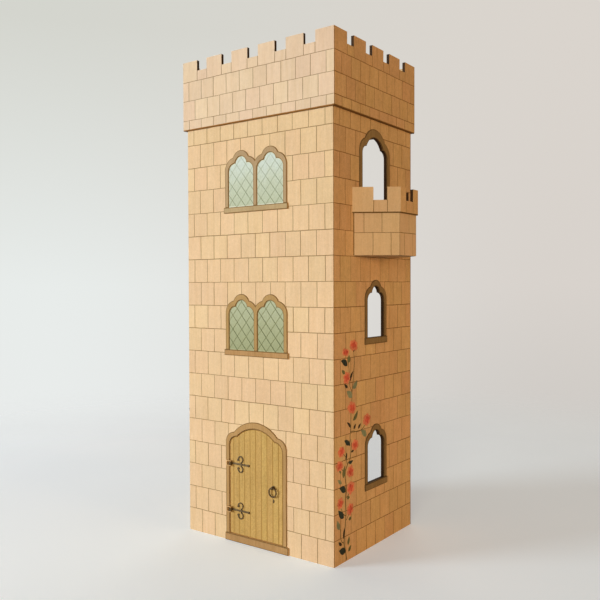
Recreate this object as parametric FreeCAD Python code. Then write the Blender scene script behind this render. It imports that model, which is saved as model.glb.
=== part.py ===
"""Castle-shaped dice tower built from flat boards.

Axes: +Z up, the door faces -Y and the balcony faces +X.
Origin: middle of the body's footprint, on the surface the tower stands on.
All lengths are in millimetres.
"""
import FreeCAD, Part
from collections import namedtuple
import math
import os

# A lobed outline: half width, height of the spring line, half distance between
# the two cusps, their height, and the height of the crown.
Lobes = namedtuple("Lobes", "half spring cusp_half cusp crown")

# ---- body ----------------------------------------------------------------
board = 2.0                 # thickness of every structural board
body_width = 115.6          # left to right, outside
body_depth = 94.5           # front to open back, outside
wall_top = 300.0            # walls end just under the crenel floor, behind the parapet

# ---- parapet -------------------------------------------------------------
parapet_bottom = 264.9
crenel_floor = 302.7
tower_top = 309.5
parapet_lip_round = 0.7     # rounding of the outer bottom edge
front_merlons = 6
front_crenel_width = 8.4
side_merlons = 5
side_crenel_width = 7.5

# ---- trim ----------------------------------------------------------------
trim = 0.5                  # how far frames stand proud of the wall
sill_projection = 0.9

# ---- twin windows in the front wall; heights are above the window's base --
window_middle = 0.2         # along X
light_spacing = 23.2        # middle of one light to the middle of the other
light_opening = Lobes(half=10.15, spring=22.8, cusp_half=4.7, cusp=27.4, crown=31.5)
light_frame = Lobes(half=12.95, spring=22.2, cusp_half=6.3, cusp=31.1, crown=35.3)
upper_window_base = 212.2
window_rise = 90.0          # height from one storey's window to the next
pane_thickness = 1.2
window_sill_half = 25.4
window_sill_height = 3.6
lead_width = 0.35
lead_thickness = 0.15
lead_pitch = 7.3            # sideways distance between parallel leads
lead_slope = 1.2            # rise of a lead over its run

# ---- openings in the right wall; window heights are above the base -------
side_window_middle = 0.15   # along Y
side_opening = Lobes(half=10.1, spring=23.2, cusp_half=4.9, cusp=27.6, crown=31.8)
side_frame = Lobes(half=13.1, spring=22.2, cusp_half=6.5, cusp=31.5, crown=35.6)
middle_side_base = 130.5
side_sill_half = 13.4
side_sill_height = 4.0

doorway_middle = -0.8
doorway_base = 207.7
doorway_opening = Lobes(half=15.0, spring=35.2, cusp_half=10.2, cusp=40.0, crown=46.3)
doorway_frame_lobes = Lobes(half=18.4, spring=34.3, cusp_half=12.0, cusp=44.7, crown=51.6)

# ---- balcony -------------------------------------------------------------
balcony_wall_half = 25.75   # half width where the apron meets the wall
balcony_front_half = 10.65
balcony_depth = 22.8
apron_bottom = 180.6
band_bottom = 205.7
band_crenel_floor = 213.3
band_top = 221.0
band_proud = 1.0
front_flank_crenel = (0.437, 0.722)   # from the wall, as parts of the flank's length
rear_flank_crenel = (0.584, 0.869)
face_crenel = (0.298, 0.708)

# ---- door ----------------------------------------------------------------
door_middle = -0.45         # along X
door_base = 4.65
door_opening = Lobes(half=21.35, spring=56.6, cusp_half=15.1, cusp=62.7, crown=68.8)
door_frame_lobes = Lobes(half=24.3, spring=58.4, cusp_half=17.5, cusp=65.2, crown=73.0)
door_gap = 0.4              # between leaf and jamb
leaf_thickness = 1.6
plank_width = 4.5           # a joint runs up the middle of the leaf
plank_joints = 9
plank_groove = 0.4
plank_groove_depth = 0.3
threshold_half = 25.2
stop_width = 5.0
stop_overlap = 2.0
stop_base = 5.4             # clear of the exit ramp's front edge
stop_height = 55.0

# ---- door ironwork -------------------------------------------------------
upper_strap_height = 49.8
lower_strap_height = 20.3
hinge_from_jamb = 1.5       # hinge axis, sideways from the edge of the opening
hinge_from_face = 1.2       # hinge axis, in front of the leaf's face
pin_radius = 0.5
eye_bore_radius = 0.55
eye_radius = 0.95
eye_height = 1.8
lug_gap = 0.3
lug_height = 0.6
lug_radius = 0.9
strap_thickness = 0.5
strap_length = 15.8
strap_bar_height = 1.1
scroll_from_jamb = 9.1
scroll_radius = 1.9
scroll_rise = 3.1
scroll_width = 0.7
knob_radius = 0.75
ring_x = 13.7
ring_pivot_height = 39.3
ring_radius = 2.75
ring_wire_radius = 0.45
ring_from_face = 1.25
staple_bore_radius = 0.53
staple_eye_radius = 1.0
staple_eye_length = 0.8
staple_plate_radius = 1.15
staple_plate_thickness = 0.4
keyhole_height = 31.0
keyhole_half_width = 0.5
keyhole_half_height = 1.1
keyhole_plate_thickness = 0.3

# ---- ramps inside --------------------------------------------------------
ramp_slope = math.tan(math.radians(36.0))
upper_ramp_start = 288.0
middle_ramp_start = 196.0
lower_ramp_start = 150.0
left_ramp_end = 10.0        # X of the free edge of a ramp from the left wall
right_ramp_end = -8.0       # X of the free edge of the ramp from the right wall
fence_height = 12.0
cleat_size = 6.0
exit_ramp_back = 20.0
rear_sill_top = 22.0

half_width = body_width / 2
half_depth = body_depth / 2
inner_half_width = half_width - board
front_inner = -half_depth + board
back_inner = half_depth - board
ramp_board_rise = board / math.cos(math.atan(ramp_slope))
door_left = door_middle - door_opening.half
door_right = door_middle + door_opening.half


def vec(x, y, z):
    return FreeCAD.Vector(x, y, z)


def line(a, b):
    return Part.LineSegment(a, b).toShape()


def arc(a, middle, b):
    return Part.Arc(a, middle, b).toShape()


def box(x_range, y_range, z_range):
    size = [high - low for low, high in (x_range, y_range, z_range)]
    corner = vec(x_range[0], y_range[0], z_range[0])
    return Part.makeBox(size[0], size[1], size[2], corner)


def extrude_plan(points, z_low, z_high):
    """Solid over a closed plan outline given as (x, y) points."""
    corners = [vec(x, y, z_low) for x, y in points]
    face = Part.Face(Part.makePolygon(corners + corners[:1]))
    return face.extrude(vec(0, 0, z_high - z_low))


def extrude_section(points, y_low, y_high):
    """Solid with an (x, z) outline, running from front to back."""
    corners = [vec(x, y_low, z) for x, z in points]
    face = Part.Face(Part.makePolygon(corners + corners[:1]))
    return face.extrude(vec(0, y_high - y_low, 0))


# A wall piece is drawn facing -Y with its outer face on Y = 0, then placed on
# its wall. Depth is measured inwards from that outer face.

def slab(wire, depth_from, depth_to):
    """Solid from a closed outline drawn in the XZ plane."""
    solid = Part.Face(wire).extrude(vec(0, depth_to - depth_from, 0))
    solid.translate(vec(0, depth_from, 0))
    return solid


def on_front(shape):
    placed = shape.copy()
    placed.translate(vec(0, -half_depth, 0))
    return placed


def on_right(shape):
    placed = shape.copy()
    placed.rotate(vec(0, 0, 0), vec(0, 0, 1), 90)
    placed.translate(vec(half_width, 0, 0))
    return placed


def on_left(shape):
    placed = shape.copy()
    placed.rotate(vec(0, 0, 0), vec(0, 0, 1), -90)
    placed.translate(vec(-half_width, 0, 0))
    return placed


def on_back(shape):
    placed = shape.copy()
    placed.rotate(vec(0, 0, 0), vec(0, 0, 1), 180)
    placed.translate(vec(0, half_depth, 0))
    return placed


# ---- lobed openings ------------------------------------------------------

def lobed_outline(middle, base, lobes):
    """Straight sides, a rounded shoulder each side and a round crown lobe."""
    turn = math.sqrt(0.5)
    half, spring, cusp_half, cusp, crown = lobes
    shoulder_u = cusp_half + (half - cusp_half) * turn
    shoulder_v = spring + (cusp - spring) * turn

    def at(u, v):
        return vec(middle + u, 0, base + v)

    return Part.Wire([
        line(at(-half, 0), at(half, 0)),
        line(at(half, 0), at(half, spring)),
        arc(at(half, spring), at(shoulder_u, shoulder_v), at(cusp_half, cusp)),
        arc(at(cusp_half, cusp), at(0, crown), at(-cusp_half, cusp)),
        arc(at(-cusp_half, cusp), at(-shoulder_u, shoulder_v), at(-half, spring)),
        line(at(-half, spring), at(-half, 0)),
    ])


def flat_frame(middles, base, outer, inner):
    """Frame round one or more openings side by side, open at the base."""
    sheet = None
    for middle in middles:
        lobe = slab(lobed_outline(middle, base, outer), -trim, 0)
        sheet = lobe if sheet is None else sheet.fuse(lobe)
    for middle in middles:
        sheet = sheet.cut(slab(lobed_outline(middle, base, inner), -2 * trim, trim))
    return sheet.removeSplitter()


def light_middle(side):
    """Middle of one light of a twin window; side is -1 or +1."""
    return window_middle + side * light_spacing / 2


def light_outline(side, base):
    return lobed_outline(light_middle(side), base, light_opening)


def side_window_outline(base):
    return lobed_outline(side_window_middle, base, side_opening)


def doorway_outline():
    return lobed_outline(doorway_middle, doorway_base, doorway_opening)


def door_outline():
    return lobed_outline(door_middle, door_base, door_opening)


# ---- walls ---------------------------------------------------------------

def mitred_board(half_length, z_low, z_high, depth_from, mitre_start, mitre_end):
    """Upright board whose ends may be mitred for a corner joint."""
    start = board if mitre_start else 0
    end = board if mitre_end else 0
    inner = depth_from + board
    plan = [(-half_length, depth_from), (half_length, depth_from),
            (half_length - end, inner), (-half_length + start, inner)]
    return extrude_plan(plan, z_low, z_high)


def front_wall():
    wall = mitred_board(half_width, 0, wall_top, 0, True, True)
    wall = wall.cut(slab(door_outline(), -board, 2 * board))
    for base in (upper_window_base, upper_window_base - window_rise):
        for side in (-1, 1):
            wall = wall.cut(slab(light_outline(side, base), -board, 2 * board))
    return on_front(wall)


def right_wall():
    wall = mitred_board(half_depth, 0, wall_top, 0, True, False)
    for base in (middle_side_base, middle_side_base - window_rise):
        wall = wall.cut(slab(side_window_outline(base), -board, 2 * board))
    wall = wall.cut(slab(doorway_outline(), -board, 2 * board))
    return on_right(wall)


def left_wall():
    return on_left(mitred_board(half_depth, 0, wall_top, 0, False, True))


def base_plate():
    return box((-inner_half_width, inner_half_width), (front_inner, half_depth), (0, board))


def rear_sill():
    return box((-inner_half_width, inner_half_width), (back_inner, half_depth),
               (board, rear_sill_top))


# ---- parapet -------------------------------------------------------------

def parapet_board(half_length, merlons, crenel_width):
    """Battlemented board with a rounded lip, glued outside the wall."""
    reach = half_length + board
    plank = mitred_board(reach, parapet_bottom, tower_top, -board, True, True)
    crenels = merlons - 1
    merlon_width = (2 * reach - crenels * crenel_width) / merlons
    for index in range(crenels):
        start = -reach + merlon_width + index * (merlon_width + crenel_width)
        gap = box((start, start + crenel_width), (-2 * board, board),
                  (crenel_floor, tower_top + board))
        plank = plank.cut(gap)
    lip = [edge for edge in plank.Edges
           if abs(edge.BoundBox.ZMax - parapet_bottom) < 0.01
           and abs(edge.BoundBox.YMin + board) < 0.01
           and abs(edge.BoundBox.YMax + board) < 0.01]
    return plank.makeFillet(parapet_lip_round, lip)


# ---- trim pieces ---------------------------------------------------------

def twin_frame(base):
    middles = [light_middle(side) for side in (-1, 1)]
    return on_front(flat_frame(middles, base, light_frame, light_opening))


def window_sill(base):
    ends = (window_middle - window_sill_half, window_middle + window_sill_half)
    return on_front(box(ends, (-sill_projection, 0), (base - window_sill_height, base)))


def pane(side, base):
    return on_front(slab(light_outline(side, base), 0, pane_thickness))


def leading(side, base):
    """Crossed leads over one pane, clear of each other's ends at the frame."""
    middle = light_middle(side)
    reach = 2 * light_opening.crown
    bars = None
    for lean in (-1, 1):
        for index in range(-5, 5):
            centre = middle + (index + 0.5) * lead_pitch
            bar = box((centre - reach, centre + reach), (-lead_thickness, 0),
                      (base - lead_width / 2, base + lead_width / 2))
            angle = math.degrees(math.atan(lead_slope))
            bar.rotate(vec(centre, 0, base), vec(0, 1, 0), -lean * angle)
            bars = bar if bars is None else bars.fuse(bar)
    clip = slab(light_outline(side, base), -lead_thickness, 0)
    return on_front(bars.common(clip).removeSplitter())


def side_window_frame(base):
    return on_right(flat_frame([side_window_middle], base, side_frame, side_opening))


def side_sill(base):
    low = side_window_middle - side_sill_half
    high = side_window_middle + side_sill_half
    return on_right(box((low, high), (-sill_projection, 0), (base - side_sill_height, base)))


def doorway_frame():
    return on_right(flat_frame([doorway_middle], doorway_base,
                               doorway_frame_lobes, doorway_opening))


def door_frame():
    return on_front(flat_frame([door_middle], door_base, door_frame_lobes, door_opening))


def door_threshold():
    return on_front(box((-threshold_half, threshold_half), (-sill_projection, 0),
                        (0, door_base)))


# ---- balcony -------------------------------------------------------------

def balcony_points(grow):
    """Plan corners of the balcony, its flanks and face moved out by grow."""
    run = balcony_depth
    fall = balcony_wall_half - balcony_front_half
    flank = math.hypot(run, fall)
    at_wall = balcony_wall_half + grow * flank / run
    at_front = balcony_front_half + grow * (flank - fall) / run
    front_x = half_width + balcony_depth + grow
    return [(half_width, -at_wall), (front_x, -at_front),
            (front_x, at_front), (half_width, at_wall)]


def facet_board(facet, grow, z_low, z_high):
    """One of the three balcony boards, mitred where it meets the next."""
    outer = balcony_points(grow)
    inner = balcony_points(grow - board)
    plan = [outer[facet], outer[facet + 1], inner[facet + 1], inner[facet]]
    return extrude_plan(plan, z_low, z_high)


def along(a, b, part):
    return (a[0] + (b[0] - a[0]) * part, a[1] + (b[1] - a[1]) * part)


def balcony_parapet(facet):
    """Battlement board of one facet, with a single crenel."""
    plank = facet_board(facet, band_proud, band_bottom, band_top)
    start, end = {0: front_flank_crenel, 1: face_crenel,
                  2: (1 - rear_flank_crenel[1], 1 - rear_flank_crenel[0])}[facet]
    outer = balcony_points(band_proud)
    a = outer[facet]
    b = outer[facet + 1]
    length = math.hypot(b[0] - a[0], b[1] - a[1])
    inward = (-(b[1] - a[1]) / length, (b[0] - a[0]) / length)
    near_start = along(a, b, start)
    near_end = along(a, b, end)
    plan = []
    for point, depth in ((near_start, -board), (near_end, -board),
                         (near_end, 2 * board), (near_start, 2 * board)):
        plan.append((point[0] + inward[0] * depth, point[1] + inward[1] * depth))
    return plank.cut(extrude_plan(plan, band_crenel_floor, band_top + board))


def balcony_apron(facet):
    return facet_board(facet, 0, apron_bottom, band_bottom)


def balcony_floor():
    return extrude_plan(balcony_points(band_proud - board), band_bottom, band_bottom + board)


def balcony_underside():
    return extrude_plan(balcony_points(-board), apron_bottom, apron_bottom + board)


# ---- door ----------------------------------------------------------------

def door_leaf():
    """Board door with shallow grooves between its planks."""
    outline = door_outline().makeOffset2D(-door_gap, join=2)
    leaf = slab(outline, 0, leaf_thickness)
    for index in range(plank_joints):
        middle = door_middle + (index - (plank_joints - 1) / 2) * plank_width
        groove = box((middle - plank_groove / 2, middle + plank_groove / 2),
                     (-1, plank_groove_depth), (0, door_base + door_opening.crown))
        leaf = leaf.cut(groove)
    return on_front(leaf)


def door_stop():
    low = door_right - stop_overlap
    return on_front(box((low, low + stop_width), (board, 2 * board),
                        (stop_base, stop_base + stop_height)))


def upright_cylinder(radius, x, depth, z_low, z_high):
    return Part.makeCylinder(radius, z_high - z_low, vec(x, depth, z_low))


def arc_band(x, z, radius, start, end, width, thickness):
    """Flat curved strip on the leaf's face; angles in degrees from +X to +Z."""
    def at(r, angle):
        a = math.radians(angle)
        return vec(x + r * math.cos(a), 0, z + r * math.sin(a))

    outer = radius + width / 2
    inner = radius - width / 2
    middle = (start + end) / 2
    outline = Part.Wire([
        arc(at(outer, start), at(outer, middle), at(outer, end)),
        line(at(outer, end), at(inner, end)),
        arc(at(inner, end), at(inner, middle), at(inner, start)),
        line(at(inner, start), at(outer, start)),
    ])
    return slab(outline, -thickness, 0)


def knob(x, z, radius, thickness):
    return Part.makeCylinder(radius, thickness, vec(x, -thickness, z), vec(0, 1, 0))


def scroll(height, direction):
    """C-shaped curl springing from the strap; direction is +1 up or -1 down."""
    x = door_left + scroll_from_jamb
    z = height + direction * scroll_rise
    first, last = (-75, 190) if direction > 0 else (75, -190)
    curl = arc_band(x, z, scroll_radius, first, last, scroll_width, strap_thickness)
    root = math.radians(first)
    root_x = x + scroll_radius * math.cos(root)
    root_z = z + scroll_radius * math.sin(root)
    stem = box((root_x - scroll_width / 2, root_x + scroll_width / 2), (-strap_thickness, 0),
               (min(height, root_z), max(height, root_z)))
    end = math.radians(last)
    tip = knob(x + scroll_radius * math.cos(end), z + scroll_radius * math.sin(end),
               knob_radius, strap_thickness)
    return curl.fuse(stem).fuse(tip)


def strap_hinge(height):
    """Strap with a rolled eye at the jamb, two curls and a round tip."""
    axis_x = door_left + hinge_from_jamb
    tip_x = door_left + strap_length
    root_half = eye_height / 2
    bar_half = strap_bar_height / 2
    neck_x = axis_x + 2 * eye_radius
    points = [(axis_x, -root_half), (neck_x, -bar_half), (tip_x, -bar_half),
              (tip_x, bar_half), (neck_x, bar_half), (axis_x, root_half)]
    corners = [vec(x, 0, height + z) for x, z in points]
    strap = slab(Part.makePolygon(corners + corners[:1]), -strap_thickness, 0)
    strap = strap.fuse(knob(tip_x, height, knob_radius, strap_thickness))
    strap = strap.fuse(scroll(height, 1)).fuse(scroll(height, -1))
    low = height - root_half
    high = height + root_half
    eye = upright_cylinder(eye_radius, axis_x, -hinge_from_face, low, high)
    bore = upright_cylinder(eye_bore_radius, axis_x, -hinge_from_face, low - 1, high + 1)
    return on_front(strap.fuse(eye).cut(bore).removeSplitter())


def hinge_pin(height):
    """Pin held by a lug above and below the strap's eye, on a small plate."""
    axis_x = door_left + hinge_from_jamb
    reach = eye_height / 2 + lug_gap
    top = reach + lug_height
    piece = upright_cylinder(pin_radius, axis_x, -hinge_from_face, height - top, height + top)
    face = -hinge_from_face - pin_radius
    for low in (-top, reach):
        lug = upright_cylinder(lug_radius, axis_x, -hinge_from_face,
                               height + low, height + low + lug_height)
        arm = box((door_left - lug_radius, axis_x), (face, -trim),
                  (height + low, height + low + lug_height))
        piece = piece.fuse(lug).fuse(arm)
    plate = box((door_left - 2 * lug_radius, door_left - lug_radius), (face, -trim),
                (height - top, height + top))
    return on_front(piece.fuse(plate).removeSplitter())


def ring_staple():
    """Eye that carries the ring, on a round plate fixed to the leaf."""
    plate = knob(ring_x, ring_pivot_height, staple_plate_radius, staple_plate_thickness)
    start = vec(ring_x - staple_eye_length / 2, -ring_from_face, ring_pivot_height)
    along_x = vec(1, 0, 0)
    eye = Part.makeCylinder(staple_eye_radius, staple_eye_length, start, along_x)
    neck = box((ring_x - staple_eye_length / 2, ring_x + staple_eye_length / 2),
               (-ring_from_face, -staple_plate_thickness / 2),
               (ring_pivot_height - staple_bore_radius, ring_pivot_height + staple_bore_radius))
    bore_start = vec(ring_x - staple_eye_length, -ring_from_face, ring_pivot_height)
    bore = Part.makeCylinder(staple_bore_radius, 2 * staple_eye_length, bore_start, along_x)
    return on_front(plate.fuse(eye).fuse(neck).cut(bore).removeSplitter())


def ring_handle():
    centre = vec(ring_x, -ring_from_face, ring_pivot_height - ring_radius)
    return on_front(Part.makeTorus(ring_radius, ring_wire_radius, centre, vec(0, 1, 0)))


def keyhole_plate():
    low = keyhole_height - keyhole_half_height + keyhole_half_width
    high = keyhole_height + keyhole_half_height - keyhole_half_width
    plate = box((ring_x - keyhole_half_width, ring_x + keyhole_half_width),
                (-keyhole_plate_thickness, 0), (low, high))
    for z in (low, high):
        plate = plate.fuse(knob(ring_x, z, keyhole_half_width, keyhole_plate_thickness))
    return on_front(plate.removeSplitter())


# ---- ramps ---------------------------------------------------------------

def ramp_surface(wall_side, start):
    """Height of a ramp's top at a given X; wall_side is -1 left or +1 right."""
    def height(x):
        return start - ramp_slope * abs(x - wall_side * inner_half_width)
    return height


def ramp_strip(wall_side, start, free_x, below, over, y_low, y_high):
    """Strip that follows the slope between two heights above the ramp's top."""
    height = ramp_surface(wall_side, start)
    wall_x = wall_side * inner_half_width
    points = [(wall_x, height(wall_x) + below), (free_x, height(free_x) + below),
              (free_x, height(free_x) + over), (wall_x, height(wall_x) + over)]
    return extrude_section(points, y_low, y_high)


def ramp(wall_side, start, free_x):
    return ramp_strip(wall_side, start, free_x, -ramp_board_rise, 0, front_inner, half_depth)


def ramp_fence(wall_side, start, free_x):
    return ramp_strip(wall_side, start, free_x, 0, fence_height, back_inner, half_depth)


def ramp_cleat(wall_side, start):
    """Three-cornered batten glued under a ramp and against the wall."""
    height = ramp_surface(wall_side, start)
    wall_x = wall_side * inner_half_width
    out_x = wall_x - wall_side * cleat_size
    points = [(wall_x, height(wall_x) - ramp_board_rise),
              (out_x, height(out_x) - ramp_board_rise),
              (wall_x, height(out_x) - ramp_board_rise - cleat_size)]
    return extrude_section(points, front_inner, half_depth)


def exit_ramp():
    """Sloping floor that carries the dice forward to the doorway."""
    points = [(front_inner, door_base), (back_inner, exit_ramp_back),
              (back_inner, exit_ramp_back - board), (front_inner, door_base - board)]
    corners = [vec(-inner_half_width, y, z) for y, z in points]
    face = Part.Face(Part.makePolygon(corners + corners[:1]))
    return face.extrude(vec(2 * inner_half_width, 0, 0))


def all_pieces():
    lower_window_base = upper_window_base - window_rise
    lower_side_base = middle_side_base - window_rise
    front_parapet = parapet_board(half_width, front_merlons, front_crenel_width)
    side_parapet = parapet_board(half_depth, side_merlons, side_crenel_width)
    pieces = {
        "front_wall": front_wall(),
        "left_wall": left_wall(),
        "right_wall": right_wall(),
        "base_plate": base_plate(),
        "rear_sill": rear_sill(),
        "parapet_front": on_front(front_parapet),
        "parapet_back": on_back(front_parapet),
        "parapet_right": on_right(side_parapet),
        "parapet_left": on_left(side_parapet),
        "exit_ramp": exit_ramp(),
        "balcony_door_frame": doorway_frame(),
        "balcony_floor": balcony_floor(),
        "balcony_underside": balcony_underside(),
        "door_frame": door_frame(),
        "door_threshold": door_threshold(),
        "door_stop": door_stop(),
        "door_leaf": door_leaf(),
        "ring_staple": ring_staple(),
        "ring_handle": ring_handle(),
        "keyhole_plate": keyhole_plate(),
    }
    ramps = {
        "upper": (-1, upper_ramp_start, left_ramp_end),
        "middle": (1, middle_ramp_start, right_ramp_end),
        "lower": (-1, lower_ramp_start, left_ramp_end),
    }
    for name, (wall_side, start, free_x) in ramps.items():
        pieces[name + "_ramp"] = ramp(wall_side, start, free_x)
        pieces[name + "_ramp_fence"] = ramp_fence(wall_side, start, free_x)
        pieces[name + "_ramp_cleat"] = ramp_cleat(wall_side, start)
    for storey, base in (("upper", upper_window_base), ("lower", lower_window_base)):
        pieces[storey + "_window_frame"] = twin_frame(base)
        pieces[storey + "_window_sill"] = window_sill(base)
        for hand, side in (("left", -1), ("right", 1)):
            pieces[storey + "_" + hand + "_pane"] = pane(side, base)
            pieces[storey + "_" + hand + "_leading"] = leading(side, base)
    for storey, base in (("middle", middle_side_base), ("lower", lower_side_base)):
        pieces[storey + "_side_window_frame"] = side_window_frame(base)
        pieces[storey + "_side_window_sill"] = side_sill(base)
    for facet, side in enumerate(("front", "outer", "rear")):
        pieces["balcony_apron_" + side] = balcony_apron(facet)
        pieces["balcony_parapet_" + side] = balcony_parapet(facet)
    for storey, height in (("upper", upper_strap_height), ("lower", lower_strap_height)):
        pieces[storey + "_strap_hinge"] = strap_hinge(height)
        pieces[storey + "_hinge_pin"] = hinge_pin(height)
    return pieces


def single_solid(shape):
    return shape.Solids[0] if len(shape.Solids) == 1 else shape


os.makedirs("parts", exist_ok=True)
for node, piece in all_pieces().items():
    single_solid(piece).exportStep("parts/" + node + ".step")
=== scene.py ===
"""Looks of the castle dice tower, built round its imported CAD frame.

Drawing is done in millimetres on flat planes and scaled to metres when a mesh is made.
"""

import math
import random

import bmesh
import bpy
import numpy as np
from mathutils import Matrix, Vector
from mathutils.geometry import delaunay_2d_cdt


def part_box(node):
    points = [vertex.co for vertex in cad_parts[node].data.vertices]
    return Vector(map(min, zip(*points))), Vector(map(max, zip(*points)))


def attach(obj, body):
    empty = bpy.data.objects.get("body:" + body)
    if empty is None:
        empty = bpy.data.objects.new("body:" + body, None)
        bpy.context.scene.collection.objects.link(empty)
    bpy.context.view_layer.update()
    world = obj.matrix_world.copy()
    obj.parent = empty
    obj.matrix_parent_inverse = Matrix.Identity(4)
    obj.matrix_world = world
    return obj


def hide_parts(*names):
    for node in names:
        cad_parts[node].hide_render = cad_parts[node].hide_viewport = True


MM = 0.001

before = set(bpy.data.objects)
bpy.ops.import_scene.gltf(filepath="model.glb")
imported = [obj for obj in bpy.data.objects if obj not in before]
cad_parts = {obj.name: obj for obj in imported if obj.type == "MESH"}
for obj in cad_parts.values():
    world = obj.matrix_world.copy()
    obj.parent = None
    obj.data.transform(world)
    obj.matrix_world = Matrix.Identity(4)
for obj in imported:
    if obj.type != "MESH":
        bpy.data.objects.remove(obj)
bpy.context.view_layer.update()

# ---- sizes shared by several pieces (mm) ----
BOARD = 2.0
COURSE = 15.0               # height of a row of stones
STONE = 11.56               # length of a stone
JOINT_WIDTH = 0.38
JOINT_DEPTH = 0.12
CORNER_ROUND = 0.4
LIP_ROUND = 0.7
EDGE_BEVEL = 0.12
MERGED_ANGLE, SHARP_ANGLE = 0.5, 30    # degrees: flatter edges go, sharper ones are bevelled
FACING = 0.8                # least cosine between a board's normal and its two large faces
OUTLINE = 0.45              # burnt line round a trim piece
MITRE_ZONE = 6.0            # stretch over which a board's inner face is fitted to its mitre
TOLERANCE = 0.01            # points no farther apart than this lie on one plane
LEAST_BEND = 0.35           # keeps the inset of a very sharp corner short


def box_mm(node):
    low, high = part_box(node)
    return low / MM, high / MM


HALF_WIDTH = box_mm("front_wall")[1].x
HALF_DEPTH = box_mm("left_wall")[1].y


# ---- drawing planes ----

class Plane:
    """u runs along a wall seen from outside, v is height, depth runs inwards."""

    def __init__(self, start, along):
        self.origin = np.array([start[0], start[1], 0.0])
        run = np.array([along[0], along[1], 0.0])
        self.along = run / np.linalg.norm(run)
        self.inward = np.array([-self.along[1], self.along[0], 0.0])

    def place(self, u, v, depth):
        """Row-frame points in metres."""
        flat = self.origin + np.outer(u, self.along) + np.outer(depth, self.inward)
        flat[:, 2] = v
        return flat * MM

    def flatten(self, points):
        """(u, v, depth) in mm of row-frame points in metres."""
        rel = points / MM - self.origin
        return rel @ self.along, points[:, 2] / MM, rel @ self.inward


FRONT = Plane((0, -HALF_DEPTH), (1, 0))
RIGHT = Plane((HALF_WIDTH, 0), (0, 1))
LEFT = Plane((-HALF_WIDTH, 0), (0, -1))
BACK = Plane((0, HALF_DEPTH), (-1, 0))


# ---- outlines ----

def signed_area(loop):
    x, y = loop[:, 0], loop[:, 1]
    return 0.5 * float(np.sum(x * np.roll(y, -1) - np.roll(x, -1) * y))


def cad_outlines(node, plane, depth):
    """Closed outlines of a CAD node's flat face at one depth; material lies to the left."""
    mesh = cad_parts[node].data
    co = np.array([v.co for v in mesh.vertices])
    u, v, d = plane.flatten(co)
    keys = [(round(a, 3), round(b, 3)) for a, b in zip(u, v)]
    edges = set()
    for polygon in mesh.polygons:
        ids = list(polygon.vertices)
        if all(abs(d[i] - depth) < TOLERANCE for i in ids):
            for a, b in zip(ids, ids[1:] + ids[:1]):
                if keys[a] != keys[b]:
                    edges.add((keys[a], keys[b]))
    following = {a: b for a, b in edges if (b, a) not in edges}
    loops = []
    while following:
        start = min(following)
        loop = [start]
        while loop[-1] in following:
            loop.append(following.pop(loop[-1]))
        loops.append(np.array(loop[:-1]))
    loops.sort(key=lambda loop: -abs(signed_area(loop)))
    if signed_area(loops[0]) < 0:
        loops = [loop[::-1] for loop in loops]
    return loops


def rectangle(u_low, u_high, v_low, v_high):
    return np.array([(u_low, v_low), (u_high, v_low), (u_high, v_high), (u_low, v_high)])


def battlement(u_low, u_high, v_low, v_floor, v_top, gaps):
    """Board outline with notches in its top edge; gaps are (start, end) along u."""
    top = [(u_high, v_top)]
    for start, end in sorted(gaps, reverse=True):
        top += [(end, v_top), (end, v_floor), (start, v_floor), (start, v_top)]
    return np.array([(u_low, v_low), (u_high, v_low)] + top + [(u_low, v_top)])


def inset_loop(loop, distance):
    """The loop moved into the material by a distance."""
    run = np.roll(loop, -1, 0) - loop
    run /= np.linalg.norm(run, axis=1)[:, None]
    normal = np.stack([-run[:, 1], run[:, 0]], 1)
    before = np.roll(normal, 1, 0)
    bend = 1 + np.sum(normal * before, 1)
    return loop + distance * (normal + before) / np.maximum(bend, LEAST_BEND)[:, None]


def segments(loops):
    """Start and end points of all the loops' edges."""
    return np.vstack(loops), np.vstack([np.roll(loop, -1, 0) for loop in loops])


def inside(points, loops):
    """Even-odd test of points against all the loops together."""
    crossings = np.zeros(len(points), int)
    for (x0, y0), (x1, y1) in zip(*segments(loops)):
        if y0 != y1:
            over = (y0 > points[:, 1]) != (y1 > points[:, 1])
            cut = x0 + (points[:, 1] - y0) * (x1 - x0) / (y1 - y0)
            crossings += over & (points[:, 0] < cut)
    return crossings % 2 == 1


def nearest(points, starts, ends, scale):
    """Least distance from each point to the segments, each distance times its scale."""
    best = np.full(len(points), 1e9)
    run = ends - starts
    length2 = np.maximum(np.sum(run * run, 1), 1e-12)
    for a, r, l2, s in zip(starts, run, length2, scale):
        rel = points - a
        t = np.clip((rel @ r) / l2, 0, 1)
        gap = rel - t[:, None] * r
        best = np.minimum(best, np.sum(gap * gap, 1) * (s * s))
    return np.sqrt(best)


def loop_distance(points, loops):
    starts, ends = segments(loops)
    return nearest(points, starts, ends, np.ones(len(starts)))


# ---- joints between stones ----

COURSE_OVERRUN = 0.4        # how far a course line runs past the board's ends
JOINT_SHIFT = 0.25          # largest sideways shift of an upright joint
JOINT_TOPS = (0, 0, 0, 0.35)    # how far below its course line an upright joint may end
LINE_SHARE = 0.97           # share of a joint's half width that takes the joint look


def wavering_line(start, end, rng, waver=0.1, step=5.0):
    """A hand-drawn straight line as a list of points."""
    a, b = np.array(start, float), np.array(end, float)
    length = float(np.linalg.norm(b - a))
    count = max(1, round(length / step))
    across = np.array([-(b - a)[1], (b - a)[0]]) / length
    return [a + (b - a) * (i / count) + across * rng.uniform(-waver, waver)
            for i in range(count + 1)]


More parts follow.
